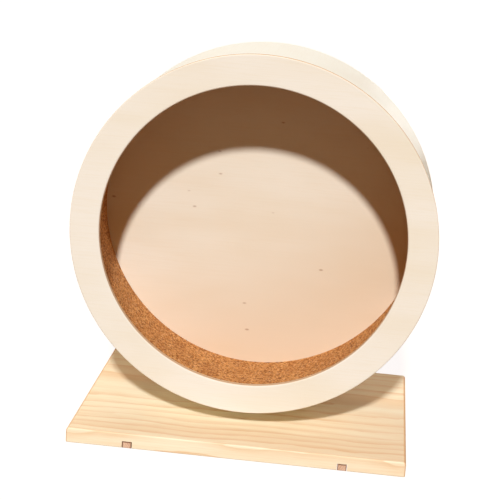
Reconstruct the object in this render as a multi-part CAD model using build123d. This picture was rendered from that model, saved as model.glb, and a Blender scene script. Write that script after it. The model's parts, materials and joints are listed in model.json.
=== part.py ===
"""Wooden running wheel on a flat pine base, as separate pieces at real size.

Millimetres, +Z up. X runs across the wheel, and the open front of the drum faces -Y.
The origin is the centre of the base board's underside.
"""

from build123d import *
import math
import os

os.makedirs("parts", exist_ok=True)

# Base board
base_width = 262.0
base_depth = 186.0
base_thickness = 12.0
base_corner_radius = 3.0
base_top_round = 2.5
base_foot_round = 0.8

# Anti-warp cleats in grooves under the board, with their end grain on its front edge
cleat_width = 7.1
cleat_height = 5.3
cleat_spread = 166.0
cleat_clearance = 0.35

# Drum
wheel_diameter = 280.0
wheel_clearance = 14.0
front_overhang = 31.0
ring_face_width = 23.0
ring_thickness = 4.0
ring_outer_round = 0.8
ring_opening_round = 1.2
ring_lip = 1.5
shell_wall = 4.0
shell_depth = 88.0
shell_edge_round = 0.6
panel_thickness = 5.0
cork_thickness = 5.0
shell_seam = 0.3
cork_seam = 0.5
glue_gap = 0.05

# Hub
hub_diameter = 64.0
hub_thickness = 24.0
hub_round = 2.0
head_pocket_depth = 8.0
head_pocket_diameter = 18.0
cover_diameter = 46.0
cover_thickness = 3.0
cover_hole_diameter = 19.0
cover_round = 0.8
cover_screw_circle = 33.0
cover_screw_count = 4
cover_screw_shank = 2.9
cover_screw_head = 5.6
cover_screw_length = 14.0

# Ball bearings, 22 by 8 by 7
bearing_outer = 22.0
bearing_bore = 8.0
bearing_width = 7.0
bearing_ball = 3.969
bearing_ball_count = 7
bearing_pitch_diameter = 15.0
outer_ring_land = 19.2
inner_ring_land = 12.1
groove_radius = 2.06
ball_clearance = 0.02
cage_thickness = 1.2
cage_rail = 0.5
cage_clearance = 0.1
shield_thickness = 0.4
shield_recess = 0.3
shield_gap = 0.25
bearing_edge_round = 0.3
bearing_seat_clearance = 0.02

# Axle bolt, sleeves, washers and cap nut, M8
bolt_diameter = 7.9
bolt_length = 50.0
bolt_tip_chamfer = 0.8
hex_across_flats = 13.0
bolt_head_height = 5.3
bolt_head_clearance = 1.0
sleeve_outer = 11.5
sleeve_clearance = 0.15
middle_sleeve_length = 2.0
washer_diameter = 24.0
washer_hole = 8.4
washer_thickness = 1.6
hub_to_post_gap = 4.0
post_bolt_clearance = 0.3
nut_hex_height = 6.5
nut_height = 15.0
nut_dome_diameter = 12.5
nut_bore_depth = 11.0
nut_bore_clearance = 0.1

# Upright post behind the drum
post_thickness = 15.0
post_foot_width = 110.0
post_top_radius = 34.0
post_round = 2.0
post_groove_depth = 4.0
post_groove_clearance = 0.1

# Screws from under the base into the post
post_screw_spacing = 35.0
post_screw_count = 3
post_screw_shank = 4.0
post_screw_head = 8.0
post_screw_length = 36.0
post_screw_sink = 0.4
screw_fit = 0.05
screw_passing_fit = 0.25
recess_width = 0.9
recess_depth_share = 0.6
recess_span_share = 0.55
screw_point_share = 1.6

# Places along Y, from the front of the ring to the cap nut
ring_front = -base_depth / 2 + front_overhang
shell_front = ring_front + ring_thickness
shell_back = shell_front + shell_depth
panel_front = shell_back - panel_thickness
hub_front = shell_back
front_bearing_front = hub_front + head_pocket_depth
front_bearing_back = front_bearing_front + bearing_width
rear_bearing_front = front_bearing_back + middle_sleeve_length
rear_bearing_back = rear_bearing_front + bearing_width
hub_back = hub_front + hub_thickness
cover_back = hub_back + cover_thickness
post_front = cover_back + hub_to_post_gap
post_back = post_front + post_thickness
head_front = hub_front + bolt_head_clearance
head_back = head_front + bolt_head_height

# Heights and radii that several pieces share
axle_height = base_thickness + wheel_clearance + wheel_diameter / 2
opening_radius = wheel_diameter / 2 - ring_face_width
shell_radius = wheel_diameter / 2 - ring_lip
shell_inner_radius = shell_radius - shell_wall
cork_inner_radius = shell_inner_radius - glue_gap - cork_thickness
bearing_seat_radius = bearing_outer / 2 + bearing_seat_clearance
sleeve_inner_radius = bolt_diameter / 2 + sleeve_clearance


def on_axle(shape, y):
    """Turns a shape made along +Z to run along +Y from the place y on the axle."""
    return Pos(0, y, axle_height) * Rot(-90, 0, 0) * shape


def rod(radius, length):
    """A cylinder that stands on the plane z = 0."""
    return Cylinder(radius, length, align=(Align.CENTER, Align.CENTER, Align.MIN))


def sleeve(outer_radius, inner_radius, length):
    """A round tube that stands on the plane z = 0."""
    return rod(outer_radius, length) - rod(inner_radius, length)


def circle_edges(shape, radius, end):
    """The round edges of one radius at the low (0) or high (-1) end of a shape along Z."""
    rim = shape.edges().filter_by(GeomType.CIRCLE).group_by(Axis.Z)[end]
    return [edge for edge in rim if abs(edge.radius - radius) < 0.01]


def ring_of(shape, count, radius, start=0.0):
    """Copies of a shape, evenly spaced on a circle about Z."""
    places = []
    for index in range(count):
        angle = start + index * 360.0 / count
        places.append(Rot(0, 0, angle) * Pos(radius, 0, 0) * shape)
    return places


def hexagon(height, corner_trim=0.9):
    """A hexagonal prism on z = 0, with its corners trimmed at the top as on a turned nut."""
    prism = extrude(RegularPolygon(hex_across_flats / 2, 6, major_radius=False), height)
    corner = hex_across_flats / math.sqrt(3)
    trim = Cone(
        corner + height - corner_trim, corner - corner_trim, height,
        align=(Align.CENTER, Align.CENTER, Align.MIN),
    )
    return prism & trim


def countersunk_screw(shank, head, length):
    """A countersunk wood screw with its flat head on z = 0 and its point up at z = length."""
    head_height = (head - shank) / 2
    point = shank * screw_point_share
    body = rod(shank / 2, length - point)
    tip = Pos(0, 0, length - point) * Cone(
        shank / 2, shank / 20, point, align=(Align.CENTER, Align.CENTER, Align.MIN)
    )
    cone = Cone(head / 2, shank / 2, head_height, align=(Align.CENTER, Align.CENTER, Align.MIN))
    span = head * recess_span_share
    depth = head_height * recess_depth_share
    slot = Box(span, recess_width, depth, align=(Align.CENTER, Align.CENTER, Align.MIN))
    return body + tip + cone - slot - Rot(0, 0, 90) * slot


def screw_hole(shank, head, length, clearance, sink=0.0):
    """The hole for such a screw, with its countersink at z = 0 and the head sunk by sink."""
    head_height = (head - shank) / 2
    hole = rod(shank / 2 + clearance, sink + length)
    seat = Pos(0, 0, sink) * Cone(
        head / 2 + clearance, shank / 2 + clearance, head_height,
        align=(Align.CENTER, Align.CENTER, Align.MIN),
    )
    return hole + seat + rod(head / 2 + clearance, sink)


def seam_cut(radius, wall, length, width, angle):
    """A thin radial slot through a round wall, at an angle about the axle."""
    slot = Box(wall * 3, width, length, align=(Align.CENTER, Align.CENTER, Align.MIN))
    return Rot(0, 0, angle) * Pos(radius, 0, 0) * slot


def make_front_ring():
    ring = sleeve(wheel_diameter / 2, opening_radius, ring_thickness)
    ring = fillet(circle_edges(ring, opening_radius, 0), ring_opening_round)
    ring = fillet(circle_edges(ring, wheel_diameter / 2, 0), ring_outer_round)
    ring = fillet(circle_edges(ring, wheel_diameter / 2, -1), ring_outer_round / 2)
    return on_axle(ring, ring_front)


def make_drum_shell():
    shell = sleeve(shell_radius, shell_inner_radius, shell_depth)
    shell = fillet(circle_edges(shell, shell_radius, -1), shell_edge_round)
    shell -= seam_cut(shell_radius, shell_wall, shell_depth, shell_seam, 90)
    return on_axle(shell, shell_front)


def make_back_panel():
    panel = rod(shell_inner_radius - glue_gap, panel_thickness)
    return on_axle(panel, panel_front)


def make_cork_track():
    length = panel_front - shell_front
    cork = sleeve(shell_inner_radius - glue_gap, cork_inner_radius, length)
    cork -= seam_cut(cork_inner_radius, cork_thickness, length, cork_seam, -90)
    return on_axle(cork, shell_front)


def cover_screw_places(shape):
    return ring_of(shape, cover_screw_count, cover_screw_circle / 2, 45.0)


def make_hub_block():
    hub = rod(hub_diameter / 2, hub_thickness)
    hub = fillet(circle_edges(hub, hub_diameter / 2, -1), hub_round)
    hub -= rod(head_pocket_diameter / 2, head_pocket_depth)
    bore = rod(bearing_seat_radius, hub_thickness - head_pocket_depth)
    hub -= Pos(0, 0, head_pocket_depth) * bore
    pilot = Rot(180, 0, 0) * rod(cover_screw_shank / 2 + screw_fit, cover_screw_length)
    for hole in cover_screw_places(pilot):
        hub -= Pos(0, 0, hub_thickness) * hole
    return on_axle(hub, hub_front)


def make_hub_cover():
    cover = sleeve(cover_diameter / 2, cover_hole_diameter / 2, cover_thickness)
    cover = fillet(circle_edges(cover, cover_diameter / 2, -1), cover_round)
    hole = Rot(180, 0, 0) * screw_hole(
        cover_screw_shank, cover_screw_head, cover_screw_length, screw_fit
    )
    for place in cover_screw_places(hole):
        cover -= Pos(0, 0, cover_thickness) * place
    return on_axle(cover, hub_back)


def make_hub_cover_screws():
    screw = Rot(180, 0, 0) * countersunk_screw(
        cover_screw_shank, cover_screw_head, cover_screw_length
    )
    return Compound([on_axle(place, cover_back) for place in cover_screw_places(screw)])


def make_bearing(front):
    """The five groups of pieces of one shielded ball bearing, from its front face at y = front."""
    middle = bearing_width / 2
    ball_radius = bearing_ball / 2
    pitch = bearing_pitch_diameter / 2
    reach = ball_radius + ball_clearance
    outer_groove = Pos(0, 0, middle) * Torus(pitch + reach - groove_radius, groove_radius)
    inner_groove = Pos(0, 0, middle) * Torus(pitch - reach + groove_radius, groove_radius)

    outer = sleeve(bearing_outer / 2, outer_ring_land / 2, bearing_width)
    for end in (0, -1):
        outer = fillet(circle_edges(outer, bearing_outer / 2, end), bearing_edge_round)
    outer -= outer_groove

    inner = sleeve(inner_ring_land / 2, bearing_bore / 2, bearing_width)
    for end in (0, -1):
        inner = fillet(circle_edges(inner, bearing_bore / 2, end), bearing_edge_round)
    inner -= inner_groove

    ball = Pos(0, 0, middle) * Sphere(ball_radius)
    balls = ring_of(ball, bearing_ball_count, pitch, 90.0)

    pocket_radius = ball_radius + cage_clearance
    cage_half = pocket_radius + cage_rail
    cage = Pos(0, 0, middle - cage_half) * sleeve(
        pitch + cage_thickness / 2, pitch - cage_thickness / 2, 2 * cage_half
    )
    pocket = Pos(0, 0, middle) * Rot(0, 90, 0) * Cylinder(pocket_radius, 3 * cage_thickness)
    for place in ring_of(pocket, bearing_ball_count, pitch, 90.0):
        cage -= place

    shield = sleeve(
        outer_ring_land / 2 - glue_gap, inner_ring_land / 2 + shield_gap, shield_thickness
    )
    shields = [
        Pos(0, 0, shield_recess) * shield,
        Pos(0, 0, bearing_width - shield_recess - shield_thickness) * shield,
    ]
    return {
        "outer_ring": on_axle(outer, front),
        "inner_ring": on_axle(inner, front),
        "balls": Compound([on_axle(place, front) for place in balls]),
        "cage": on_axle(cage, front),
        "shields": Compound([on_axle(place, front) for place in shields]),
    }


def make_axle_bolt():
    shank = rod(bolt_diameter / 2, bolt_length)
    shank = chamfer(circle_edges(shank, bolt_diameter / 2, -1), bolt_tip_chamfer)
    head = Rot(180, 0, 0) * hexagon(bolt_head_height)
    return on_axle(shank + head, head_back)


def make_sleeve_between(start, end):
    """A sleeve on the bolt that bears on the bearings' inner rings only."""
    return on_axle(sleeve(sleeve_outer / 2, sleeve_inner_radius, end - start), start)


def make_washer(front):
    washer = sleeve(washer_diameter / 2, washer_hole / 2, washer_thickness)
    return on_axle(washer, front)


def make_dome_nut():
    dome_radius = nut_dome_diameter / 2
    nut = Rot(0, 0, 30) * hexagon(nut_hex_height)
    nut += rod(dome_radius, nut_height - dome_radius)
    nut += Pos(0, 0, nut_height - dome_radius) * Sphere(dome_radius)
    nut -= rod(bolt_diameter / 2 + nut_bore_clearance, nut_bore_depth)
    return on_axle(nut, post_back + washer_thickness)


def post_screw_places(shape):
    first = -post_screw_spacing * (post_screw_count - 1) / 2
    post_middle = (post_front + post_back) / 2
    places = []
    for index in range(post_screw_count):
        places.append(Pos(first + index * post_screw_spacing, post_middle, 0) * shape)
    return places


def make_upright_board():
    foot_height = base_thickness - post_groove_depth
    top = Pos(0, axle_height) * Circle(post_top_radius)
    foot = Pos(0, foot_height + post_groove_depth / 2) * Rectangle(post_foot_width, post_groove_depth)
    outline = make_hull(top.edges() + foot.edges())
    board = Pos(0, post_front, 0) * extrude(Plane.XZ * outline, post_thickness, dir=(0, 1, 0))
    rims = board.edges().group_by(Axis.Y)
    long_edges = [
        edge for rim in (rims[0], rims[-1]) for edge in rim
        if edge.center().Z > base_thickness + post_round
    ]
    board = fillet(long_edges, post_round)
    board -= on_axle(rod((bolt_diameter + post_bolt_clearance) / 2, post_thickness), post_front)
    pilot = Pos(0, 0, post_screw_sink) * rod(post_screw_shank / 2 + screw_fit, post_screw_length)
    for hole in post_screw_places(pilot):
        board -= hole
    return board


def make_upright_screws():
    screw = Pos(0, 0, post_screw_sink) * countersunk_screw(
        post_screw_shank, post_screw_head, post_screw_length
    )
    return Compound(post_screw_places(screw))


def board_blank():
    """The base board with its rounded corners and edges, before its grooves and holes."""
    blank = extrude(RectangleRounded(base_width, base_depth, base_corner_radius), base_thickness)
    blank = fillet(blank.edges().group_by(Axis.Z)[-1], base_top_round)
    return fillet(blank.edges().group_by(Axis.Z)[0], base_foot_round)


def cleat_strip(side, clearance):
    """A strip under the board at the left (-1) or right (1), larger than the cleat by clearance."""
    width = cleat_width + 2 * clearance
    height = cleat_height + clearance
    strip = Box(width, 2 * base_depth, height, align=(Align.CENTER, Align.CENTER, Align.MIN))
    return Pos(side * cleat_spread / 2, 0, 0) * strip


def make_base_board():
    board = board_blank()
    for side in (-1, 1):
        board -= cleat_strip(side, cleat_clearance)
    groove = Box(
        post_foot_width + 2 * post_groove_clearance,
        post_thickness + 2 * post_groove_clearance,
        post_groove_depth,
        align=(Align.CENTER, Align.MIN, Align.MIN),
    )
    groove_front = post_front - post_groove_clearance
    board -= Pos(0, groove_front, base_thickness - post_groove_depth) * groove
    hole = screw_hole(
        post_screw_shank, post_screw_head, base_thickness, screw_passing_fit, post_screw_sink
    )
    for place in post_screw_places(hole):
        board -= place
    return board


def make_cleat(side):
    return board_blank() & cleat_strip(side, 0.0)


def make_all():
    """Every piece, by the name of its node."""
    pieces = {
        "front_ring": make_front_ring(),
        "drum_shell": make_drum_shell(),
        "back_panel": make_back_panel(),
        "cork_track": make_cork_track(),
        "hub_block": make_hub_block(),
        "hub_cover": make_hub_cover(),
        "hub_cover_screws": make_hub_cover_screws(),
        "axle_bolt": make_axle_bolt(),
        "front_spacer": make_sleeve_between(head_back, front_bearing_front),
        "middle_spacer": make_sleeve_between(front_bearing_back, rear_bearing_front),
        "rear_spacer": make_sleeve_between(rear_bearing_back, post_front - washer_thickness),
        "front_washer": make_washer(post_front - washer_thickness),
        "rear_washer": make_washer(post_back),
        "dome_nut": make_dome_nut(),
        "upright_board": make_upright_board(),
        "upright_screws": make_upright_screws(),
        "base_board": make_base_board(),
        "left_cleat": make_cleat(-1),
        "right_cleat": make_cleat(1),
    }
    for name, front in (("front", front_bearing_front), ("rear", rear_bearing_front)):
        for piece, shape in make_bearing(front).items():
            pieces[f"{name}_bearing_{piece}"] = shape
    return pieces


for node, shape in make_all().items():
    export_step(shape, f"parts/{node}.step")
    print(node, round(shape.volume, 1))
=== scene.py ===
# %% [markdown]
# A wooden running wheel, dressed in Blender.
# The wheel is a short drum that turns on a bolt behind it. A flat ring frames its open front, a thin bent
# shell makes its wall, and cork lines the track inside. A pine post holds the bolt on a pine board.
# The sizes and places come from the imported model, so this lesson is about surfaces, edges and light.

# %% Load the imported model
import json
import math

import bpy
import bmesh
from mathutils import Euler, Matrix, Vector


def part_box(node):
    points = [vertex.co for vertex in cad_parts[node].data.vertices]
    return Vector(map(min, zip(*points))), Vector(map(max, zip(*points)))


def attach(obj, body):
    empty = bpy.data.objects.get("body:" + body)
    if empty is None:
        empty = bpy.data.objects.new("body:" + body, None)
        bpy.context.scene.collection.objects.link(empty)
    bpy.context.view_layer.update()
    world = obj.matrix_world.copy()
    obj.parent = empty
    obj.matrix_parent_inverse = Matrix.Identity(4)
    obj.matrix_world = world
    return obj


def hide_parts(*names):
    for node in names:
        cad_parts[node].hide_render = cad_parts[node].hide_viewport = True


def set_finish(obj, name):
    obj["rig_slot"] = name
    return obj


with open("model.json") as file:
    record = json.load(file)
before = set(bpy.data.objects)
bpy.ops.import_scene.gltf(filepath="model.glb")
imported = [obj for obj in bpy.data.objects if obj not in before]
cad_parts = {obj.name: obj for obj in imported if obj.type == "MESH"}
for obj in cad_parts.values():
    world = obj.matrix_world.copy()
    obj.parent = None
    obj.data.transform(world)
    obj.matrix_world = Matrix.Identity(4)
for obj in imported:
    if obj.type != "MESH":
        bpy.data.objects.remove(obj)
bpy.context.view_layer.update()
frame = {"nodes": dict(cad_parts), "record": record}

# %% [markdown]
# Blender counts in metres, while a woodworker thinks in millimetres. One named value turns one into the
# other. A hair is the play that a test for a place allows, because computed places are never quite even.
# The drum's own measures are read from the boxes of its pieces, so nothing is measured twice.

# %% Measure the drum
mm = 0.001
hair = 0.01 * mm
ring_low, ring_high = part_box("front_ring")
shell_low, shell_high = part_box("drum_shell")
panel_low, panel_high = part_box("back_panel")
cork_low, cork_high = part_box("cork_track")
hub_low, hub_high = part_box("hub_block")
post_low, post_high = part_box("upright_board")
board_low, board_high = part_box("base_board")

axle = (ring_low.z + ring_high.z) / 2
ring_radius = (ring_high.x - ring_low.x) / 2
shell_radius = (shell_high.x - shell_low.x) / 2
cork_radius = (cork_high.x - cork_low.x) / 2
panel_radius = (panel_high.x - panel_low.x) / 2
hub_radius = (hub_high.x - hub_low.x) / 2
print("axle height", round(axle / mm, 1), "ring radius", round(ring_radius / mm, 1))


# %% [markdown]
# Every piece below is shaped with the same few moves: select, edit, finish with modifiers. An operator acts
# on all that is selected, so every helper first drops the old selection and picks its own vertices and edges
# by their place.

# %% Helpers for modelling
def select_only(*pieces):
    """Selects these pieces and no others. The last one is the active one."""
    bpy.ops.object.select_all(action="DESELECT")
    for piece in pieces:
        piece.select_set(True)
        bpy.context.view_layer.objects.active = piece


def start_on(piece):
    """Selects one piece alone and opens it in edit mode, with nothing in it selected."""
    select_only(piece)
    bpy.ops.object.mode_set(mode="EDIT")
    bpy.ops.mesh.select_mode(type="VERT")
    bpy.ops.mesh.select_all(action="DESELECT")


def pick(piece, kind, test):
    """Selects the vertices or edges of an open piece that pass a test, and counts them."""
    bpy.ops.mesh.select_mode(type={"verts": "VERT", "edges": "EDGE"}[kind])
    bpy.ops.mesh.select_all(action="DESELECT")
    mesh = bmesh.from_edit_mesh(piece.data)
    found = 0
    for part in getattr(mesh, kind):
        if test(part):
            part.select_set(True)
            found += 1
    bmesh.update_edit_mesh(piece.data)
    return found


def middle(edge):
    """The middle of an edge."""
    return (edge.verts[0].co + edge.verts[1].co) / 2


def place_applied(piece):
    """Moves a piece's place and turn into its mesh."""
    select_only(piece)
    bpy.ops.object.transform_apply(location=True, rotation=True, scale=True)


def apply_modifier(piece, kind, **settings):
    """Adds a modifier, sets it and applies it."""
    select_only(piece)
    modifier = piece.modifiers.new(kind.lower(), kind)
    for name, value in settings.items():
        setattr(modifier, name, value)
    bpy.ops.object.modifier_apply(modifier=modifier.name)


def smooth(piece, angle=35):
    """Smooth shading over the rounded edges, while the broad faces stay flat."""
    select_only(piece)
    bpy.ops.object.shade_smooth_by_angle(angle=math.radians(angle))
    apply_modifier(piece, "WEIGHTED_NORMAL", keep_sharp=True)


def finish_piece(piece, body, slot, *nodes):
    """Says what the piece rides on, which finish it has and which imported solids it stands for."""
    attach(piece, body)
    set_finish(piece, slot)
    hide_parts(*nodes)
    low = Vector(tuple(min(v.co[i] for v in piece.data.vertices) for i in range(3)))
    high = Vector(tuple(max(v.co[i] for v in piece.data.vertices) for i in range(3)))
    print(piece.name, "faces", len(piece.data.polygons), "low", [round(c / mm, 2) for c in low],
          "high", [round(c / mm, 2) for c in high])


# %% [markdown]
# Most of the wheel is turned work, so one helper makes it, the way a lathe does. A flat plane stands for
# the section of the piece, its corners are rounded, and the outline is spun round the axle.
# A piece that was bent from a strip stops just before it closes, and its two ends get caps: that is the seam.

# %% The lathe
merge_distance = 0.002 * mm


def section(name, inner, outer, front, back):
    """A flat rectangle above the axle: the cut through a turned piece."""
    bpy.ops.object.select_all(action="DESELECT")
    bpy.ops.mesh.primitive_plane_add(
        size=1, location=(0, (front + back) / 2, axle + (inner + outer) / 2), rotation=(0, math.pi / 2, 0))
    piece = bpy.context.active_object
    piece.name = name
    piece.data.name = name
    piece.scale = (outer - inner, back - front, 1)
    place_applied(piece)
    return piece


def round_corner(piece, radius, y, size, segments):
    """Rounds the corner of the section nearest to one radius and one place along the axle."""
    corner = Vector((0, y, axle + radius))
    pick(piece, "verts", lambda v: (v.co - corner).length < hair)
    bpy.ops.mesh.bevel(offset=size, segments=segments, affect="VERTICES")


def spin(piece, steps, gap=0.0, start=0.0):
    """Spins the open section round the axle. A gap leaves a seam there, start turns it in degrees."""
    bpy.ops.mesh.select_all(action="SELECT")
    bpy.ops.mesh.delete(type="ONLY_FACE")
    if pick(piece, "edges", lambda e: abs(middle(e).z - axle) < hair):
        bpy.ops.mesh.delete(type="EDGE")
    bpy.ops.mesh.select_all(action="SELECT")
    bpy.ops.mesh.spin(steps=steps, angle=2 * math.pi - gap, center=(0, 0, axle), axis=(0, 1, 0))
    bpy.ops.mesh.select_all(action="SELECT")
    if gap:
        bpy.ops.mesh.fill_holes(sides=0)
    bpy.ops.mesh.remove_doubles(threshold=merge_distance)
    bpy.ops.mesh.normals_make_consistent(inside=False)
    bpy.ops.object.mode_set(mode="OBJECT")
    if start:
        turn_about_axle(piece, start)


def turn_about_axle(piece, degrees):
    """Turns a finished mesh about the axle."""
    angle = math.radians(degrees)
    for vertex in piece.data.vertices:
        x, z = vertex.co.x, vertex.co.z - axle
        vertex.co.x = x * math.cos(angle) + z * math.sin(angle)
        vertex.co.z = axle - x * math.sin(angle) + z * math.cos(angle)
    piece.data.update()


# %% [markdown]
# The front ring is sawn from 4 mm plywood. Its opening is well rounded, because it is the doorway, and its
# outer edge is only broken with sandpaper. It is turned from its section, with a corner of its own for
# each of those edges.

# %% Turn the front ring
ring_face_width = 23 * mm
opening_radius = ring_radius - ring_face_width
opening_round = 1.2 * mm
rim_round = 0.8 * mm
round_steps = 288

ring = section("wheel_ring", opening_radius, ring_radius, ring_low.y, ring_high.y)
start_on(ring)
round_corner(ring, opening_radius, ring_low.y, opening_round, 6)
round_corner(ring, ring_radius, ring_low.y, rim_round, 4)
round_corner(ring, ring_radius, ring_high.y, rim_round / 2, 3)
spin(ring, round_steps)
smooth(ring)
finish_piece(ring, "wheel", "ring_plywood", "front_ring")

# %% [markdown]
# The drum's wall is a strip of thin plywood bent into a hoop. Its two ends meet in a straight seam at the
# bottom, which turns out of sight under the drum. The strip's rear edge is broken with sandpaper.

# %% Bend the shell
shell_wall = 4 * mm
shell_seam = 0.3 * mm
shell_round = 0.6 * mm

shell = section("wheel_shell", shell_radius - shell_wall, shell_radius, shell_low.y, shell_high.y)
start_on(shell)
round_corner(shell, shell_radius, shell_high.y, shell_round, 4)
seam_angle = shell_seam / shell_radius
spin(shell, round_steps, gap=seam_angle, start=180 + math.degrees(seam_angle) / 2)
smooth(shell)
finish_piece(shell, "wheel", "shell_plywood", "drum_shell")

# %% [markdown]
# The back panel is a plywood disc pressed into the rear of the shell. It closes the drum and carries the
# hub. From the front it is the large lit surface, so its grain and its small brown flecks matter most.

# %% Cut the back panel
panel_round = 0.3 * mm

panel = section("wheel_back", 0, panel_radius, panel_low.y, panel_high.y)
start_on(panel)
round_corner(panel, panel_radius, panel_high.y, panel_round, 2)
spin(panel, round_steps)
smooth(panel)
finish_piece(panel, "wheel", "panel_plywood", "back_panel")

# %% [markdown]
# The track is lined with a strip of pressed cork. Its granules stand up a little, so the track isn't
# slippery. The section's inner side is divided finely, and after the spin a cloud texture pushes only the
# running face in and out by a fraction of a millimetre.

# %% Lay the cork
cork_thickness = 5 * mm
cork_seam = 0.5 * mm
granule_size = 3.5 * mm
granule_relief = 0.25 * mm
flat_margin = 1 * mm
cork_steps = 700
cork_cuts = 64

cork = section("cork_lining", cork_radius - cork_thickness, cork_radius, cork_low.y, cork_high.y)
cork_inner = cork_radius - cork_thickness
start_on(cork)
pick(cork, "edges", lambda e: abs(middle(e).z - axle - cork_inner) < hair)
bpy.ops.mesh.subdivide(number_cuts=cork_cuts)
seam_angle = cork_seam / cork_inner
spin(cork, cork_steps, gap=seam_angle, start=math.degrees(seam_angle) / 2)
running_face = cork.vertex_groups.new(name="running_face")
running_face.add([v.index for v in cork.data.vertices
                  if math.hypot(v.co.x, v.co.z - axle) < cork_inner + flat_margin
                  and cork_low.y + flat_margin < v.co.y < cork_high.y - flat_margin], 1.0, "REPLACE")
clouds = bpy.data.textures.new("cork_clouds", "CLOUDS")
clouds.noise_scale = granule_size
apply_modifier(cork, "DISPLACE", texture=clouds, strength=granule_relief, mid_level=0.5,
               vertex_group="running_face")
smooth(cork, 60)
finish_piece(cork, "wheel", "cork", "cork_track")

# %% [markdown]
# The hub is a beech block turned on a lathe and glued behind the back panel. It holds the ball bearings.
# Its rear edge is well rounded, and its bore is closed by a thin plywood cover.

# %% Turn the hub
hub_bore = 11.02 * mm
hub_round = 2 * mm
hub_steps = 128

hub = section("wheel_hub", hub_bore, hub_radius, hub_low.y, hub_high.y)
start_on(hub)
round_corner(hub, hub_radius, hub_high.y, hub_round, 6)
spin(hub, hub_steps)
smooth(hub)
finish_piece(hub, "wheel", "hub_beech", "hub_block")

# %% [markdown]
# The base is a planed pine board. The top edges of its two ends are rounded most, its front and back faces
# have a smaller round along their outline, and its lower edge is just broken. Three bevels on one block
# follow that order. Grooves for the cleats and the post are cut out of it with blocks, as a router would.

# %% Shape the base board
end_round = 2.5 * mm
face_round = 1.1 * mm
foot_round = 0.8 * mm
cleat_play = 0.35 * mm
groove_play = 0.1 * mm
overshoot = 10 * mm


def block(name, low, high):
    """A block between two corners."""
    bpy.ops.object.select_all(action="DESELECT")
    low, high = Vector(low), Vector(high)
    bpy.ops.mesh.primitive_cube_add(size=1, location=(low + high) / 2)
    piece = bpy.context.active_object
    piece.name = name
    piece.data.name = name
    piece.scale = high - low
    place_applied(piece)
    return piece


def cut_away(piece, cutter):
    """Cuts one block out of a piece and throws the block away."""
    apply_modifier(piece, "BOOLEAN", object=cutter, operation="DIFFERENCE", solver="EXACT")
    bpy.data.objects.remove(cutter)


board = block("pine_base", board_low, board_high)
start_on(board)
pick(board, "edges", lambda e: abs(middle(e).y) < hair and middle(e).z > board_high.z - hair)
bpy.ops.mesh.bevel(offset=end_round, segments=8)
pick(board, "edges", lambda e: abs(middle(e).y) > board_high.y - hair and middle(e).z > hair)
bpy.ops.mesh.bevel(offset=face_round, segments=7)
pick(board, "edges", lambda e: max(v.co.z for v in e.verts) < board_low.z + hair)
bpy.ops.mesh.bevel(offset=foot_round, segments=3)
bpy.ops.object.mode_set(mode="OBJECT")
for cleat in ("left_cleat", "right_cleat"):
    low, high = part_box(cleat)
    spare = Vector((cleat_play, overshoot, cleat_play))
    cut_away(board, block("groove", low - spare, high + spare))
spare = Vector((groove_play, groove_play, 0))
cut_away(board, block("groove", post_low - spare,
                      Vector((post_high.x, post_high.y, board_high.z + overshoot)) + spare))
smooth(board)
finish_piece(board, "stand", "pine", "base_board")

# %% [markdown]
# The post is one upright pine board with a round head and a wider foot. Its outline is the hull of a disc
# round the bolt and a block in the base's groove, so the two are joined and wrapped in a convex hull.

# %% Shape the post
head_radius = post_high.z - axle
post_round = 2 * mm
bolt_hole = 4.1 * mm
drill_length = 40 * mm
post_middle = (0, (post_low.y + post_high.y) / 2, axle)

bpy.ops.object.select_all(action="DESELECT")
bpy.ops.mesh.primitive_cylinder_add(
    vertices=160, radius=head_radius, depth=post_high.y - post_low.y,
    location=post_middle, rotation=(math.pi / 2, 0, 0))
post = bpy.context.active_object
post.name = "pine_post"
post.data.name = "pine_post"
place_applied(post)
foot = block("foot", post_low, Vector((post_high.x, post_high.y, board_high.z)))
select_only(foot, post)
bpy.ops.object.join()
start_on(post)
bpy.ops.mesh.select_all(action="SELECT")
bpy.ops.mesh.convex_hull()
bpy.ops.mesh.select_all(action="SELECT")
bpy.ops.mesh.dissolve_limited(angle_limit=math.radians(0.5))
pick(post, "edges", lambda e: abs(e.verts[0].co.y - e.verts[1].co.y) < hair
     and middle(e).z > board_high.z + hair)
bpy.ops.mesh.bevel(offset=post_round, segments=6)
bpy.ops.object.mode_set(mode="OBJECT")
bpy.ops.object.select_all(action="DESELECT")
bpy.ops.mesh.primitive_cylinder_add(
    vertices=48, radius=bolt_hole, depth=drill_length,
    location=post_middle, rotation=(math.pi / 2, 0, 0))
cut_away(post, bpy.context.active_object)
smooth(post)
finish_piece(post, "stand", "pine", "upright_board")

# %% [markdown]
# Every finish below is a small graph of shader nodes. One helper adds a node, sets it and joins its
# inputs, so a graph reads from top to bottom like a recipe.

# %% Helpers for materials
def add(tree, kind, inputs=None, **settings):
    """Adds a node. Each input is given a value, or another node's output to join to."""
    made = tree.nodes.new(kind)
    count = len(tree.nodes)
    made.location = (220 * (count % 8), -260 * (count // 8))
    for name, value in settings.items():
        setattr(made, name, value)
    for name, value in (inputs or {}).items():
        if isinstance(value, bpy.types.NodeSocket):
            tree.links.new(value, made.inputs[name])
        else:
            made.inputs[name].default_value = value
    return made


def calc(tree, operation, *values):
    """A sum on numbers: its operation, then its numbers or outputs."""
    made = add(tree, "ShaderNodeMath", dict(enumerate(values)), operation=operation)
    return made.outputs[0]


def stretch(tree, place, scale):
    """Scales coordinates along X, Y and Z."""
    return add(tree, "ShaderNodeVectorMath", {0: place, 1: scale}, operation="MULTIPLY").outputs[0]


def ramp(tree, value, low, high):
    """Turns the span from low to high into 0 to 1, softly."""
    made = add(tree, "ShaderNodeMapRange", {"Value": value, "From Min": low, "From Max": high},
               interpolation_type="SMOOTHSTEP")
    return made.outputs["Result"]


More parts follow.
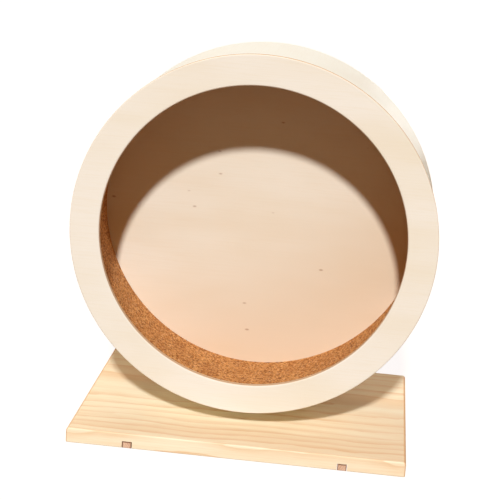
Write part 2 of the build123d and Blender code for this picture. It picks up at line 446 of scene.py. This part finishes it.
def blend(tree, factor, first, second):
    """Mixes two colours."""
    return add(tree, "ShaderNodeMix", {0: factor, 6: first, 7: second}, data_type="RGBA").outputs[2]


def lay(tree, tone, colour, mask, share):
    """Lays a colour over a tone where a mask is high, at a share of its strength."""
    return blend(tree, calc(tree, "MULTIPLY", mask, share), tone, colour)


def noise(tree, place, scale, detail=2.0, roughness=0.5):
    """Soft spots at a scale, with finer spots on them."""
    made = add(tree, "ShaderNodeTexNoise",
               {"Vector": place, "Scale": scale, "Detail": detail, "Roughness": roughness})
    return made.outputs["Fac"]


def new_group(name, inputs, outputs):
    """A node group with named sockets. Returns its tree, its entry and its exit."""
    tree = bpy.data.node_groups.new(name, "ShaderNodeTree")
    for socket, kind, value in inputs:
        tree.interface.new_socket(name=socket, in_out="INPUT", socket_type=kind).default_value = value
    for socket in outputs:
        tree.interface.new_socket(name=socket, in_out="OUTPUT", socket_type="NodeSocketFloat")
    return tree, tree.nodes.new("NodeGroupInput").outputs, tree.nodes.new("NodeGroupOutput").inputs


def use(tree, group, **inputs):
    """Places a group in a material with its own values."""
    made = tree.nodes.new("ShaderNodeGroup")
    made.node_tree = group
    for name, value in inputs.items():
        socket = made.inputs[name.replace("_", " ")]
        if isinstance(value, bpy.types.NodeSocket):
            tree.links.new(value, socket)
        else:
            socket.default_value = value
    return made.outputs


# %% [markdown]
# Wood is built from its growth. A log is a stack of cones round a pith, so a board shows lines where it
# cuts them along the log, and arcs on its ends. The rings group measures the distance to the pith line and
# repeats it, with a slow wander, so that top, edge and end grain agree without any unwrapping. Within a year
# the line of late wood rises slowly and ends quickly, and some years are weaker than others.

# %% Group: growth rings
NUMBER, VECTOR = "NodeSocketFloat", "NodeSocketVector"
rise_power = 3.2
line_end = 0.93
weakest_year = 0.4
fast_share = 0.25

rings, entry, out = new_group(
    "growth_rings",
    [("Place", VECTOR, (0, 0, 0)), ("Pith", VECTOR, (0, 0, -0.05)), ("Spacing", NUMBER, 0.006),
     ("Wander", NUMBER, 0.003)],
    ["Late wood", "Band"])
far = add(rings, "ShaderNodeVectorMath", {0: entry["Place"], 1: entry["Pith"]}, operation="SUBTRACT")
across = stretch(rings, far.outputs[0], (0, 1, 1))
distance = add(rings, "ShaderNodeVectorMath", {0: across}, operation="LENGTH").outputs["Value"]
slow = noise(rings, stretch(rings, entry["Place"], (9, 16, 16)), 1.0, 1.0)
fast = noise(rings, stretch(rings, entry["Place"], (30, 160, 160)), 1.0, 2.0)
wander = calc(rings, "ADD", calc(rings, "SUBTRACT", slow, 0.5),
              calc(rings, "MULTIPLY", calc(rings, "SUBTRACT", fast, 0.5), fast_share))
moved = calc(rings, "MULTIPLY_ADD", wander, calc(rings, "MULTIPLY", entry["Wander"], 4.0), distance)
turns = calc(rings, "DIVIDE", moved, entry["Spacing"])
phase = calc(rings, "FRACT", turns)
rise = calc(rings, "POWER", phase, rise_power)
fall = calc(rings, "SUBTRACT", 1.0, ramp(rings, phase, line_end, 1.0))
year = add(rings, "ShaderNodeTexWhiteNoise", {"W": calc(rings, "FLOOR", turns)}, noise_dimensions="1D")
weight = calc(rings, "MULTIPLY_ADD", year.outputs["Value"], 1 - weakest_year, weakest_year)
rings.links.new(calc(rings, "MULTIPLY", calc(rings, "MULTIPLY", rise, fall), weight), out["Late wood"])
rings.links.new(noise(rings, stretch(rings, entry["Place"], (3, 45, 45)), 1.0, 2.0), out["Band"])

# %% [markdown]
# Between the rings lie the fibres: fine streaks along the grain that also catch a little light. Birch and
# beech hardly show their rings, but they have short brown flecks. Both are noise, drawn out along X.

# %% Group: fibres and flecks
fibres, entry, out = new_group("fibres", [("Place", VECTOR, (0, 0, 0)), ("Flecks", NUMBER, 0.5)],
                               ["Streak", "Fleck", "Cloud"])
fibres.links.new(noise(fibres, stretch(fibres, entry["Place"], (35, 900, 900)), 1.0, 3.0, 0.6), out["Streak"])
fibres.links.new(noise(fibres, stretch(fibres, entry["Place"], (8, 22, 22)), 1.0, 2.0), out["Cloud"])
spots = add(fibres, "ShaderNodeTexVoronoi", {"Vector": stretch(fibres, entry["Place"], (28, 60, 60)),
                                             "Scale": 1.0})
tint = add(fibres, "ShaderNodeSeparateColor", {"Color": spots.outputs["Color"]}).outputs[0]
few = calc(fibres, "GREATER_THAN", tint, calc(fibres, "SUBTRACT", 1.0, entry["Flecks"]))
small = calc(fibres, "SUBTRACT", 1.0, ramp(fibres, spots.outputs["Distance"], 0.02, 0.07))
fibres.links.new(calc(fibres, "MULTIPLY", few, small), out["Fleck"])

# %% [markdown]
# Plywood shows its layers wherever the sheet is cut. The layers group counts how deep a point lies in the
# sheet: every second ply is turned across, so long grain and darker end grain alternate, with a thin line
# of glue between them.

# %% Group: plywood layers
layers, entry, out = new_group(
    "plywood_layers",
    [("Depth", NUMBER, 0.0), ("Ply", NUMBER, 0.0013), ("Odd ends", NUMBER, 0.0), ("Even ends", NUMBER, 1.0)],
    ["End grain", "Glue"])
count = calc(layers, "DIVIDE", entry["Depth"], entry["Ply"])
even = calc(layers, "MODULO", calc(layers, "FLOOR", count), 2.0)
ends = add(layers, "ShaderNodeMix", {0: even, 2: entry["Odd ends"], 3: entry["Even ends"]})
layers.links.new(ends.outputs[0], out["End grain"])
from_middle = calc(layers, "ABSOLUTE", calc(layers, "SUBTRACT", calc(layers, "FRACT", count), 0.5))
layers.links.new(ramp(layers, from_middle, 0.43, 0.5), out["Glue"])

# %% [markdown]
# Handling polishes and pales the edges of bare wood first, and the same pale edges stand in for the highlight
# that a rounded edge catches, so this mark is partly real wear and partly painted highlight. The edges group
# compares the surface with a rounded copy of itself, which differs only near an edge, and breaks the result
# up with noise.

# %% Group: worn edges and painted edge highlight
worn_and_highlit, entry, out = new_group(
    "worn_and_highlit_edges", [("Place", VECTOR, (0, 0, 0)), ("Reach", NUMBER, 0.0015)], ["Edge"])
rounded = add(worn_and_highlit, "ShaderNodeBevel", {"Radius": entry["Reach"]}, samples=6)
as_made = add(worn_and_highlit, "ShaderNodeNewGeometry").outputs["Normal"]
likeness = add(worn_and_highlit, "ShaderNodeVectorMath", {0: rounded.outputs[0], 1: as_made}, operation="DOT_PRODUCT")
edge = ramp(worn_and_highlit, calc(worn_and_highlit, "SUBTRACT", 1.0, likeness.outputs["Value"]), 0.005, 0.2)
# noise breaks up the pale edge, which is partly real wear and partly painted highlight
worn_and_highlit_patches = ramp(worn_and_highlit, noise(worn_and_highlit, entry["Place"], 220.0, 2.0), 0.3, 0.65)
worn_and_highlit.links.new(calc(worn_and_highlit, "MULTIPLY", edge, worn_and_highlit_patches), out["Edge"])
print("groups:", ", ".join(group.name for group in bpy.data.node_groups))


# %% [markdown]
# Each material starts the same way: a Principled shader and the object's own coordinates, which stay with
# the piece as it turns. Colours are written as sRGB numbers, as a colour picker shows them.

# %% Materials: the start of each
def srgb(red, green, blue):
    """A colour picker's numbers from 0 to 255 as a linear colour."""
    shares = [number / 255 for number in (red, green, blue)]
    linear = [s / 12.92 if s <= 0.04045 else ((s + 0.055) / 1.055) ** 2.4 for s in shares]
    return (*linear, 1.0)


def new_material(name, roughness, **sockets):
    """A Principled material. Returns its tree, its shader and its object coordinates."""
    material = bpy.data.materials.new(name)
    material.use_nodes = True
    tree = material.node_tree
    shader = tree.nodes["Principled BSDF"]
    shader.inputs["Roughness"].default_value = roughness
    for socket, value in sockets.items():
        shader.inputs[socket.replace("_", " ")].default_value = value
    place = tree.nodes.new("ShaderNodeTexCoord").outputs["Object"]
    return material, tree, shader, place


def bump(tree, shader, height, distance, strength):
    """Raises the surface by a height map, in metres."""
    made = add(tree, "ShaderNodeBump", {"Height": height, "Distance": distance, "Strength": strength})
    tree.links.new(made.outputs[0], shader.inputs["Normal"])


wood_roughness, rough_play = 0.62, 0.12
band_share, streak_share = 0.3, 0.18


def wood(name, light, dark, spacing, pith, late, axis="x", wander=0.003, flecks=0.0, fleck_colour=None,
         edges=0.35, ends=0.55):
    """Solid wood with its grain along X, Y or Z. Its ends drink light, so they are darker."""
    material, tree, shader, place = new_material(name, wood_roughness, Specular_IOR_Level=0.3)
    parts = add(tree, "ShaderNodeSeparateXYZ", {0: place}).outputs
    turned = {"x": (0, 1, 2), "y": (1, 0, 2), "z": (2, 0, 1)}[axis]
    grain = add(tree, "ShaderNodeCombineXYZ", {i: parts[turned[i]] for i in range(3)}).outputs[0]
    normal = add(tree, "ShaderNodeNewGeometry").outputs["Normal"]
    along = calc(tree, "ABSOLUTE", add(tree, "ShaderNodeSeparateXYZ", {0: normal}).outputs[turned[0]])
    ring_out = use(tree, rings, Place=grain, Pith=pith, Spacing=spacing, Wander=wander)
    fibre_out = use(tree, fibres, Place=grain, Flecks=flecks)
    edge = use(tree, worn_and_highlit, Place=place)["Edge"]
    tone = lay(tree, light, dark, ring_out["Late wood"], late)
    tone = lay(tree, tone, dark, ramp(tree, ring_out["Band"], 0.4, 0.7), band_share)
    streak = ramp(tree, fibre_out["Streak"], 0.35, 0.75)
    tone = lay(tree, tone, dark, streak, streak_share)
    tone = blend(tree, fibre_out["Fleck"], tone, fleck_colour or dark)
    # the edges are paled: partly real wear, partly painted highlight
    tone = lay(tree, tone, light, edge, edges)
    tone = lay(tree, tone, dark, ramp(tree, along, 0.0, 0.7), ends)
    tree.links.new(tone, shader.inputs["Base Color"])
    rough = calc(tree, "MULTIPLY_ADD", streak, rough_play, wood_roughness - rough_play / 2)
    tree.links.new(rough, shader.inputs["Roughness"])
    height = calc(tree, "SUBTRACT", fibre_out["Streak"], calc(tree, "MULTIPLY", ring_out["Late wood"], 0.8))
    bump(tree, shader, height, 0.06 * mm, 0.6)
    return material


# %% [markdown]
# Pine has a pale early wood and a darker line of late wood each year, here about 7 mm apart. The base
# board's pith lies well below it, so its top shows long lines and its ends show arcs. The post's grain
# stands upright, and the cleats' grain runs from front to back. Beech has faint rings and many short flecks.

# %% Materials: pine, cleats and beech
pine = wood("pine_board", srgb(255, 246, 219), srgb(226, 174, 112), spacing=7.2 * mm,
            pith=(0, 10 * mm, -55 * mm), late=0.75, wander=0.004, edges=0.0, ends=0.8)
post_pine = wood("pine_upright", srgb(252, 232, 198), srgb(222, 172, 116), spacing=6.5 * mm,
                 pith=(0, 12 * mm, 20 * mm), axis="z", late=0.7)
cleat_wood = wood("cleat_end_grain", srgb(246, 218, 190), srgb(176, 112, 80), spacing=1.6 * mm,
                  pith=(0, 0, 50 * mm), axis="y", late=0.9, wander=0.001, ends=0.2)
beech = wood("beech_hub", srgb(226, 190, 152), srgb(190, 140, 100), spacing=4 * mm,
             pith=(0, 0, 20 * mm), late=0.35, flecks=0.8, fleck_colour=srgb(170, 112, 72))

# %% [markdown]
# The cleats' ends show at the front of the base. A thin dark border is laid over the end grain round each
# end:
# it is painted shade, the shadow in the narrow gap round the cleat. It is measured from the cleat's own sides
# and top.

# %% Painted shade round the cleats' ends
gap_shade_start, gap_shade_full = 1.1 * mm, 0.3 * mm
# painted shade: the colour of the shadow in the gap round each cleat's end
gap_shade_colour = srgb(122, 80, 56)

tree = cleat_wood.node_tree
shader = tree.nodes["Principled BSDF"]
cleat_low, cleat_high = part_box("right_cleat")
half_cleat = (cleat_high.x - cleat_low.x) / 2
parts = add(tree, "ShaderNodeSeparateXYZ", {0: add(tree, "ShaderNodeTexCoord").outputs["Object"]}).outputs
off_middle = calc(tree, "SUBTRACT", calc(tree, "ABSOLUTE", parts[0]), (cleat_low.x + cleat_high.x) / 2)
# the painted shade is darkest next to the cleat's sides and top, where the gap is
side_gap_shade = ramp(tree, calc(tree, "ABSOLUTE", off_middle), half_cleat - gap_shade_start, half_cleat - gap_shade_full)
top_gap_shade = ramp(tree, parts[2], cleat_high.z - gap_shade_start, cleat_high.z - gap_shade_full)
gap_shade_mask = calc(tree, "MULTIPLY", calc(tree, "MAXIMUM", side_gap_shade, top_gap_shade), 0.8)
wood_tone = shader.inputs["Base Color"].links[0].from_socket
tree.links.new(blend(tree, gap_shade_mask, wood_tone, gap_shade_colour), shader.inputs["Base Color"])


# %% [markdown]
# Birch plywood is nearly white, with faint clouds, fine streaks and a few pith flecks. The same recipe
# serves the ring, the back panel and the hub's cover: only the tint, the plies and the flecks change. The
# panel also grows a little browner towards its lower right, which is the drift.
# On a cut edge the surface looks away from the axle, so the square of its normal says which plies show
# their end grain there.

# %% Materials: plywood
# the pale white laid on edges is partly real wear and partly painted highlight
fleck_brown, drift_brown, rubbed_and_highlight_white = srgb(150, 104, 70), srgb(208, 172, 128), srgb(255, 250, 228)
long_grain, cross_grain, glue_line = srgb(226, 200, 166), srgb(190, 150, 112), srgb(122, 84, 54)
cut_share, glue_share = 0.75, 0.6
drift_start, drift_end, drift_slant = -20 * mm, 120 * mm, 0.6


def plywood(name, light, dark, front, ply, flecks=0.05, edges=0.5, drift=0.0):
    """A flat sheet of plywood, its face square to the axle, its front face at a place along Y."""
    material, tree, shader, place = new_material(name, roughness=0.55, Specular_IOR_Level=0.3)
    fibre_out = use(tree, fibres, Place=place, Flecks=flecks)
    edge = use(tree, worn_and_highlit, Place=place)["Edge"]
    normal = add(tree, "ShaderNodeNewGeometry").outputs["True Normal"]
    across = add(tree, "ShaderNodeSeparateXYZ", {0: normal}).outputs
    parts = add(tree, "ShaderNodeSeparateXYZ", {0: place}).outputs
    depth = calc(tree, "SUBTRACT", parts[1], front)
    layer = use(tree, layers, Depth=depth, Ply=ply, Odd_ends=calc(tree, "POWER", across[0], 2.0),
                Even_ends=calc(tree, "POWER", across[2], 2.0))
    rim = calc(tree, "SUBTRACT", 1.0, ramp(tree, calc(tree, "ABSOLUTE", across[1]), 0.35, 0.75))
    cloud = ramp(tree, fibre_out["Cloud"], 0.35, 0.75)
    tone = lay(tree, light, dark, cloud, 0.5)
    height = calc(tree, "SUBTRACT", parts[2], axle)
    slope = calc(tree, "SUBTRACT", calc(tree, "MULTIPLY", parts[0], drift_slant), height)
    tone = lay(tree, tone, drift_brown, ramp(tree, slope, drift_start, drift_end), drift)
    streak = ramp(tree, fibre_out["Streak"], 0.4, 0.8)
    tone = lay(tree, tone, dark, streak, 0.25)
    tone = lay(tree, tone, fleck_brown, fibre_out["Fleck"], 0.55)
    cut = lay(tree, long_grain, cross_grain, layer["End grain"], cut_share)
    cut = lay(tree, cut, glue_line, layer["Glue"], glue_share)
    tone = blend(tree, rim, tone, cut)
    facing = calc(tree, "SUBTRACT", 1.0, rim)
    # the faces are paled near their edges: partly real wear, partly painted highlight, strongest on the ring
    tone = lay(tree, tone, rubbed_and_highlight_white, calc(tree, "MULTIPLY", edge, facing), edges)
    tree.links.new(tone, shader.inputs["Base Color"])
    bump(tree, shader, fibre_out["Streak"], 0.04 * mm, 0.5)
    return material


ring_wood = plywood("ring_plywood", srgb(240, 236, 226), srgb(231, 219, 192), front=ring_low.y,
                    ply=1.35 * mm, edges=0.9)
panel_wood = plywood("panel_plywood", srgb(234, 225, 209), srgb(226, 209, 183), front=panel_low.y,
                     ply=1.25 * mm, flecks=0.8, drift=0.42)
cover_wood = plywood("cover_plywood", srgb(238, 212, 180), srgb(222, 186, 146),
                     front=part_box("hub_cover")[0].y, ply=1 * mm)

# %% [markdown]
# The shell's sheet is bent, so its layers are counted outwards from the axle, and its outer grain runs
# along the axle, the way thin plywood bends best. Its surface is nearly ivory. On a rim, which faces along
# the axle, the cut layers show.

# %% Material: the bent shell
def round_the_axle(tree, place):
    """A point's place along X, along the axle, its height over the axle and its distance from it."""
    parts = add(tree, "ShaderNodeSeparateXYZ", {0: place}).outputs
    height = calc(tree, "SUBTRACT", parts[2], axle)
    squares = calc(tree, "MULTIPLY_ADD", parts[0], parts[0], calc(tree, "POWER", height, 2.0))
    return parts[0], parts[1], height, calc(tree, "SQRT", squares)


bent_wood, tree, shader, place = new_material("bent_plywood", roughness=0.5, Specular_IOR_Level=0.35)
side, depth, height, radius = round_the_axle(tree, place)
arc = calc(tree, "MULTIPLY", calc(tree, "ARCTAN2", side, height), shell_radius)
along = add(tree, "ShaderNodeCombineXYZ", {0: depth, 1: arc, 2: radius}).outputs[0]
fibre_out = use(tree, fibres, Place=along, Flecks=0.05)
layer = use(tree, layers, Depth=calc(tree, "SUBTRACT", shell_radius, radius), Ply=1.35 * mm, Odd_ends=1.0,
            Even_ends=0.0)
normal = add(tree, "ShaderNodeNewGeometry").outputs["True Normal"]
facing = calc(tree, "ABSOLUTE", add(tree, "ShaderNodeSeparateXYZ", {0: normal}).outputs[1])
rim = ramp(tree, facing, 0.4, 0.8)
ivory, ivory_shade, shell_fleck = srgb(245, 250, 244), srgb(240, 238, 226), srgb(170, 130, 96)
shell_long, shell_cross, shell_glue = srgb(232, 206, 170), srgb(186, 136, 90), srgb(112, 72, 42)
tone = lay(tree, ivory, ivory_shade, ramp(tree, fibre_out["Cloud"], 0.4, 0.8), 0.5)
tone = lay(tree, tone, ivory_shade, ramp(tree, fibre_out["Streak"], 0.4, 0.8), 0.3)
tone = lay(tree, tone, shell_fleck, fibre_out["Fleck"], 0.5)
cut = lay(tree, shell_long, shell_cross, layer["End grain"], cut_share)
cut = lay(tree, cut, shell_glue, layer["Glue"], glue_share)
tree.links.new(blend(tree, rim, tone, cut), shader.inputs["Base Color"])
bump(tree, shader, fibre_out["Streak"], 0.04 * mm, 0.5)

# %% [markdown]
# Pressed cork is a mosaic of granules a millimetre or two across. Cells in three dimensions give each
# granule its own tint and a dark rim. A few cells turn into dark bark or pale bits, a slow noise clouds the
# whole, and the cells lift the surface.

# %% Material: cork
light_cork, dark_cork = srgb(230, 174, 108), srgb(180, 114, 57)
bark, pale_bit, granule_rim, damp_cloud = (
    srgb(112, 62, 34), srgb(232, 184, 132), srgb(124, 70, 38), srgb(158, 96, 52))

raggedness = 0.9 * mm

cork_skin, tree, shader, place = new_material("pressed_cork", roughness=0.85, Specular_IOR_Level=0.2)
ragged = add(tree, "ShaderNodeTexNoise", {"Vector": place, "Scale": 500.0}).outputs["Color"]
bent = add(tree, "ShaderNodeVectorMath", {0: ragged, 1: [raggedness] * 3, 2: place},
           operation="MULTIPLY_ADD").outputs[0]
grains = add(tree, "ShaderNodeTexVoronoi", {"Vector": bent, "Scale": 760.0})
tint = add(tree, "ShaderNodeSeparateColor", {"Color": grains.outputs["Color"]}).outputs
tone = blend(tree, tint[0], light_cork, dark_cork)
for mask, low, high, share, colour in (
        (tint[1], 0.82, 0.9, 0.7, bark),
        (tint[2], 0.85, 0.92, 0.6, pale_bit),
        (grains.outputs["Distance"], 0.5, 0.8, 0.55, granule_rim),
        (noise(tree, place, 60.0), 0.4, 0.7, 0.25, damp_cloud)):
    tone = lay(tree, tone, colour, ramp(tree, mask, low, high), share)
tree.links.new(tone, shader.inputs["Base Color"])
bump(tree, shader, grains.outputs["Distance"], -0.3 * mm, 0.8)

# %% [markdown]
# The hardware is plain steel. Zinc plating is satin with a faint cloud, ground bearing steel is brighter,
# and the screws have the yellow plating of wood screws. Fine turning marks run round the axle.

# %% Materials: steel
mark_waves = 18000.0


def steel(name, colour, dull, roughness, marks=0.3):
    """Plated or ground steel with faint clouds and turning marks."""
    material, tree, shader, place = new_material(name, roughness, Metallic=1.0)
    cloud = noise(tree, place, 180.0, 3.0)
    tree.links.new(blend(tree, ramp(tree, cloud, 0.35, 0.7), colour, dull), shader.inputs["Base Color"])
    tree.links.new(calc(tree, "MULTIPLY_ADD", cloud, 0.2, roughness - 0.1), shader.inputs["Roughness"])
    radius = round_the_axle(tree, place)[3]
    bump(tree, shader, calc(tree, "SINE", calc(tree, "MULTIPLY", radius, mark_waves)), 0.01 * mm, marks)
    return material


finishes = {
    "zinc_steel": steel("zinc_plate", srgb(214, 214, 210), srgb(188, 190, 188), 0.34),
    "screw_steel": steel("yellow_zinc_plate", srgb(222, 204, 150), srgb(196, 172, 112), 0.36),
    "bearing_steel": steel("ground_steel", srgb(216, 216, 218), srgb(196, 196, 200), 0.22),
    "ball_steel": steel("polished_steel", srgb(226, 226, 230), srgb(214, 214, 218), 0.08, 0.0),
    "cage_steel": steel("pressed_steel", srgb(196, 194, 186), srgb(172, 170, 162), 0.4, 0.1),
    "ring_plywood": ring_wood,
    "shell_plywood": bent_wood,
    "panel_plywood": panel_wood,
    "cover_plywood": cover_wood,
    "cork": cork_skin,
    "hub_beech": beech,
    "pine": pine,
    "cleat_wood": cleat_wood,
}

# %% [markdown]
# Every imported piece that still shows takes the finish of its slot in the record, and every new piece takes
# its own. The post is pine as well, but with its grain upright.

# %% Put the finishes on
slot_of = {part["node"]: part["material_slot"] for part in frame["record"]["subparts"]}
for node, piece in frame["nodes"].items():
    piece.data.materials.clear()
    piece.data.materials.append(finishes[slot_of[node]])
new_pieces = (ring, shell, panel, cork, hub, board, post)
for piece in new_pieces:
    piece.data.materials.clear()
    piece.data.materials.append(finishes[piece["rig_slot"]])
post.data.materials[0] = post_pine
print("finished", len(frame["nodes"]), "packed pieces and", len(new_pieces), "new ones")

# %% [markdown]
# The camera stands a metre in front of the wheel, a little to its right and above it, and looks down at it
# through a long lens. Its place was worked out from the ellipses of the ring and the corners of the board.
# Its turn is a heading, a tilt and a roll, in degrees, and the roll is almost four degrees.

# %% Camera
camera_place = (0.0857, -1.0247, 0.4329)
heading, tilt, roll = 5.13, -15.85, 3.83
focal_length, sensor_width = 95.8, 36.0

camera_data = bpy.data.cameras.new("camera")
camera_data.sensor_width = sensor_width
camera_data.lens = focal_length
camera = bpy.data.objects.new("camera", camera_data)
camera.location = camera_place
camera.rotation_mode = "QUATERNION"
look = Euler((math.radians(90 + tilt), 0, math.radians(heading)), "XYZ").to_quaternion()
camera.rotation_quaternion = look @ Euler((0, 0, math.radians(roll)), "XYZ").to_quaternion()
bpy.context.scene.collection.objects.link(camera)
bpy.context.scene.camera = camera
print("camera right", [round(c, 4) for c in camera.rotation_quaternion @ Vector((1, 0, 0))],
      "forward", [round(c, 4) for c in camera.rotation_quaternion @ Vector((0, 0, -1))])

# %% [markdown]
# The key light comes from high in front, down at about 37 degrees, and its size shows in the soft edge of
# the shadow inside the drum. Weak soft lamps at both sides, behind and above keep the white edges white.
# All four stand further back than the ring, so they don't reach into the drum.

# %% Light
def soft_lamp(name, place, size, power, colour=(1, 1, 1)):
    """A square lamp that faces the middle of the wheel."""
    data = bpy.data.lights.new(name, "AREA")
    data.size, data.energy, data.color = size, power, colour
    lamp = bpy.data.objects.new(name, data)
    lamp.location = place
    lamp.rotation_mode = "QUATERNION"
    lamp.rotation_quaternion = (Vector((0, 0, axle)) - Vector(place)).to_track_quat("-Z", "Y")
    bpy.context.scene.collection.objects.link(lamp)


key_power, key_width = 3.3, 3.4
key_direction = Vector((-0.024, 1.0, -0.755))
warm, cream = (1, 0.75, 0.5), (1, 0.88, 0.68)

sun_data = bpy.data.lights.new("key", "SUN")
sun_data.energy = key_power
sun_data.angle = math.radians(key_width)
key = bpy.data.objects.new("key", sun_data)
key.rotation_mode = "QUATERNION"
key.rotation_quaternion = key_direction.to_track_quat("-Z", "Y")
bpy.context.scene.collection.objects.link(key)
soft_lamp("right_soft", (1.5, 0.75, 0.02), size=0.3, power=4, colour=warm)
soft_lamp("left_soft", (-1.5, 0.75, 0.02), size=0.3, power=9, colour=warm)
soft_lamp("back_soft", (0.3, 1.8, 0.1), size=0.4, power=5)
soft_lamp("top_soft", (-0.4, 0.3, 1.8), size=0.7, power=6, colour=cream)

# %% [markdown]
# The world does two jobs. As light it is a dim brown fill, which gives the shade its warm tone. Where the
# camera or a reflection sees it, it is the white background.

# %% World
brown_fill, white = (0.20, 0.085, 0.012, 1), (1, 1, 1, 1)

world = bpy.data.worlds.new("world")
bpy.context.scene.world = world
world.use_nodes = True
tree = world.node_tree
path = add(tree, "ShaderNodeLightPath").outputs
seen = calc(tree, "MAXIMUM", path["Is Camera Ray"],
            calc(tree, "MAXIMUM", path["Is Glossy Ray"], path["Is Transmission Ray"]))
sky = blend(tree, seen, brown_fill, white)
tree.links.new(sky, tree.nodes["Background"].inputs["Color"])

# %% [markdown]
# The floor is a wide, rather dark and warm sheet, so that little light bounces up from it. For the camera it
# adds a cool glow of its own. The two add up to white, so the floor meets the background without a line and
# still keeps a faint shadow of the wheel.

# %% Floor
floor_size = 12
floor_colour, glow_colour, glow_strength = (0.28, 0.22, 0.16, 1), (0.97, 0.98, 1, 1), 0.9

bpy.ops.object.select_all(action="DESELECT")
bpy.ops.mesh.primitive_plane_add(size=floor_size)
floor = bpy.context.active_object
floor.name = "floor"
paper, tree, shader, _ = new_material("white_paper", roughness=0.9, Specular_IOR_Level=0.0)
shader.inputs["Base Color"].default_value = floor_colour
path = add(tree, "ShaderNodeLightPath").outputs
seen_strength = calc(tree, "MULTIPLY", path["Is Camera Ray"], glow_strength)
glow = add(tree, "ShaderNodeEmission", {"Color": glow_colour, "Strength": seen_strength})
both = add(tree, "ShaderNodeAddShader", {0: shader.outputs[0], 1: glow.outputs[0]})
tree.links.new(both.outputs[0], tree.nodes["Material Output"].inputs["Surface"])
floor.data.materials.append(paper)

bpy.context.scene.view_settings.view_transform = "Standard"
